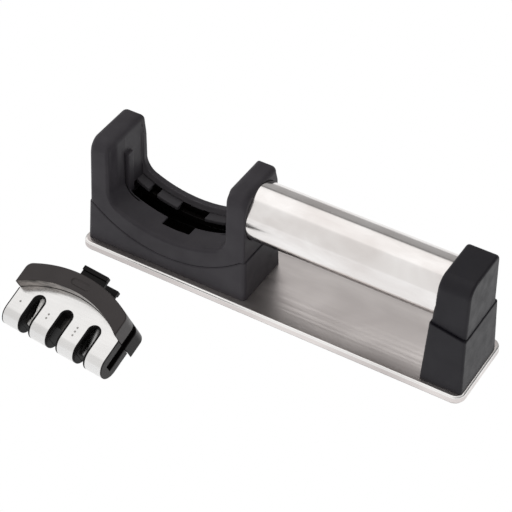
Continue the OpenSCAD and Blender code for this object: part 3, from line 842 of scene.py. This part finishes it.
cartridge_piece("cartridge_core", cartridge_body, "cartridge_body",
                (-CART_HALF, 0, -2 * NOSE_R), (CART_HALF, 27, 0),
                BLACK_AND_PAINTED_SHADE, "black_plastic", 0.7, [END_RIM_PAINTED_LIGHT], core_material)
cartridge_piece("arc_collar", collar, "collar",
                (-CART_HALF, 8, COLLAR_BACK), (CART_HALF, COLLAR_ARC, COLLAR_FRONT),
                COLLAR, "collar_plastic", 0.8, [GLOSS, BLACK_AND_PAINTED_SHADE], collar_material)
cartridge_piece("hook_clip", snap_clip, "snap_clip",
                (-HOOK_HALF, 30, -17), (HOOK_HALF, HOOK_TIP, 1.2),
                BLACK_AND_PAINTED_SHADE, "black_plastic", 0.6)

DOT_R, DOT_PITCH, DOT_RISE, DOT_SIDES, DOTS_Y = 0.55, 2.1, 0.03, 20, 11.5


def add_dot(points, faces, at_x, at_y, face_z, out):
    """A low closed dot on a flat face that looks along out, 1 for +Z or -1 for -Z."""
    start = len(points)
    for r, up in ((DOT_R, 0.0), (DOT_R * 0.86, DOT_RISE), (DOT_R * 0.3, DOT_RISE * 0.6)):
        for i in range(DOT_SIDES):
            a = out * 2 * math.pi * i / DOT_SIDES
            points.append((at_x + r * math.cos(a), at_y + r * math.sin(a), face_z + out * up))
    for low in (start, start + DOT_SIDES):
        for i in range(DOT_SIDES):
            j, high = (i + 1) % DOT_SIDES, low + DOT_SIDES
            faces.append((low + i, low + j, high + j, high + i))
    faces.append(tuple(start + 2 * DOT_SIDES + i for i in range(DOT_SIDES)))
    faces.append(tuple(start + DOT_SIDES - 1 - i for i in range(DOT_SIDES)))


def stage_marks():
    """One, two and three low dots beside the three slots, on both flat faces."""
    points, faces = [], []
    for stage in range(3):
        for dot in range(stage + 1):
            at_x, at_y = SLOT_PITCH * (stage - 1.5), DOTS_Y + DOT_PITCH * (dot - stage / 2)
            add_dot(points, faces, at_x, at_y, 0.0, 1)
            add_dot(points, faces, at_x, at_y, 2 * MID, -1)
    return new_object("stage_marks", points, faces)


finished(laid(stage_marks()), "cartridge", MARK, "face_steel")

# The pieces that keep their CAD shape, with a bevel in millimetres
for node, body, bevel, material, slot in (
    ("face_wrap", "cartridge", 0.12, FACE, "face_steel"),
    ("ceramic_holder", "cartridge", 0.1, BLACK_AND_PAINTED_SHADE, "black_plastic"),
    ("tungsten_holder", "cartridge", 0.1, BLACK_AND_PAINTED_SHADE, "black_plastic"),
    ("diamond_holder", "cartridge", 0.1, BLACK_AND_PAINTED_SHADE, "black_plastic"),
    ("ceramic_rods", "cartridge", 0.15, CERAMIC, "ceramic"),
    ("tungsten_blades", "cartridge", 0.08, CARBIDE, "carbide"),
    ("diamond_rods", "cartridge", 0.15, GRIT, "diamond_grit"),
    ("cartridge_screws", "cartridge", 0.1, ZINC, "zinc_steel"),
    ("base_core", "stand", 0.2, BLACK_AND_PAINTED_SHADE, "black_plastic"),
    ("handle_plug_left", "stand", 0.3, BLACK_AND_PAINTED_SHADE, "black_plastic"),
    ("handle_plug_right", "stand", 0.3, BLACK_AND_PAINTED_SHADE, "black_plastic"),
    ("tie_rod", "stand", 0.2, ZINC, "zinc_steel"),
    ("tie_rod_nuts", "stand", 0.15, ZINC, "zinc_steel"),
    ("cradle_screws", "stand", 0.1, ZINC, "zinc_steel"),
    ("yoke_screws", "stand", 0.1, ZINC, "zinc_steel"),
    ("post_screws", "stand", 0.1, ZINC, "zinc_steel"),
    ("cap_screws", "stand", 0.1, ZINC, "zinc_steel"),
):
    finished(refined(node, bevel), body, material, slot)

# ---------------------------------------------------------------- floor, light and camera

FLOOR_HALF_M, FLOOR_DROP_M = 6.0, 0.00005


def emitter(name, radiance):
    """A plain surface that shines evenly."""
    material = bpy.data.materials.new(name)
    material.use_nodes = True
    nodes, links = material.node_tree.nodes, material.node_tree.links
    nodes.clear()
    emission = nodes.new("ShaderNodeEmission")
    emission.inputs["Color"].default_value = (*radiance, 1)
    links.new(emission.outputs[0], nodes.new("ShaderNodeOutputMaterial").inputs[0])
    return material


square = np.array([(-1, -1, 0), (1, -1, 0), (1, 1, 0), (-1, 1, 0)])
floor = new_object("floor", square * FLOOR_HALF_M / MM, np.array([[0, 1, 2, 3]]))
floor.location.z = -FLOOR_DROP_M
floor.data.materials.append(emitter("white_table", (1.0, 1.0, 1.0)))


# The room's brightness at angles in degrees: 0 is level in front, 90 overhead, 180 level behind
ROOM_LIGHT = (
    (0, 0.88), (66, 0.90), (73, 1.15), (132, 1.15),
    (135.5, 0.16), (139, 0.18), (143, 0.40), (180, 0.46),
)
RIGHT_FADE, RIGHT_LIMIT = 0.75, 0.8


def studio():
    """A room lit in bands by the angle round the X axis, and dimmer towards the right."""
    world = bpy.data.worlds.new("studio")
    bpy.context.scene.world = world
    world.use_nodes = True
    nodes, links = world.node_tree.nodes, world.node_tree.links
    direction = nodes.new("ShaderNodeTexCoord").outputs["Generated"]
    split = nodes.new("ShaderNodeSeparateXYZ")
    links.new(direction, split.inputs[0])

    def maths(operation, *values):
        node = nodes.new("ShaderNodeMath")
        node.operation = operation
        for socket, value in zip(node.inputs, values):
            if isinstance(value, (int, float)):
                socket.default_value = value
            else:
                links.new(value, socket)
        return node.outputs[0]

    front = maths("MULTIPLY", split.outputs["Y"], -1.0)
    angle = maths("MULTIPLY", maths("ARCTAN2", split.outputs["Z"], front), 1 / math.pi)
    ramp = nodes.new("ShaderNodeValToRGB")
    links.new(angle, ramp.inputs[0])
    stops = ramp.color_ramp.elements
    while len(stops) < len(ROOM_LIGHT):
        stops.new(0.5)
    for item, (degrees, level) in zip(stops, ROOM_LIGHT):
        item.position = degrees / 180
        item.color = (level, level * 0.99, level * 0.98, 1)
    background = nodes["Background"]
    links.new(ramp.outputs[0], background.inputs["Color"])
    rightward = maths("MINIMUM", maths("MAXIMUM", split.outputs["X"], 0.0), RIGHT_LIMIT)
    strength = maths("SUBTRACT", 1.0, maths("MULTIPLY", rightward, RIGHT_FADE))
    links.new(strength, background.inputs["Strength"])


studio()

# Angles in degrees, and the camera's place in millimetres along its own axes before the roll
CAMERA_TURN, CAMERA_RISE, CAMERA_ROLL = 29.62, 41.93, 1.62
CAMERA_AWAY, CAMERA_RIGHT, CAMERA_UP = 928.37, -14.36, 20.18
CAMERA_LENS, CAMERA_SENSOR = 134.5, 36


def camera():
    """The camera, aimed along forward and then rolled."""
    turn, rise, roll = (math.radians(a) for a in (CAMERA_TURN, CAMERA_RISE, CAMERA_ROLL))
    level = math.cos(rise)
    forward = Vector((-math.sin(turn) * level, math.cos(turn) * level, -math.sin(rise)))
    right = Vector((math.cos(turn), math.sin(turn), 0))
    up = right.cross(forward)
    image_x = math.cos(roll) * right + math.sin(roll) * up
    image_y = math.cos(roll) * up - math.sin(roll) * right
    place = -forward * CAMERA_AWAY + right * CAMERA_RIGHT + up * CAMERA_UP
    data = bpy.data.cameras.new("camera")
    data.lens, data.sensor_width = CAMERA_LENS, CAMERA_SENSOR
    data.clip_start, data.clip_end = 0.05, 50
    made = bpy.data.objects.new("camera", data)
    bpy.context.scene.collection.objects.link(made)
    aim = Matrix((image_x, image_y, -forward)).transposed().to_4x4()
    made.matrix_world = Matrix.Translation(place * MM) @ aim
    bpy.context.scene.camera = made


camera()
bpy.context.scene.view_settings.view_transform = "Standard"
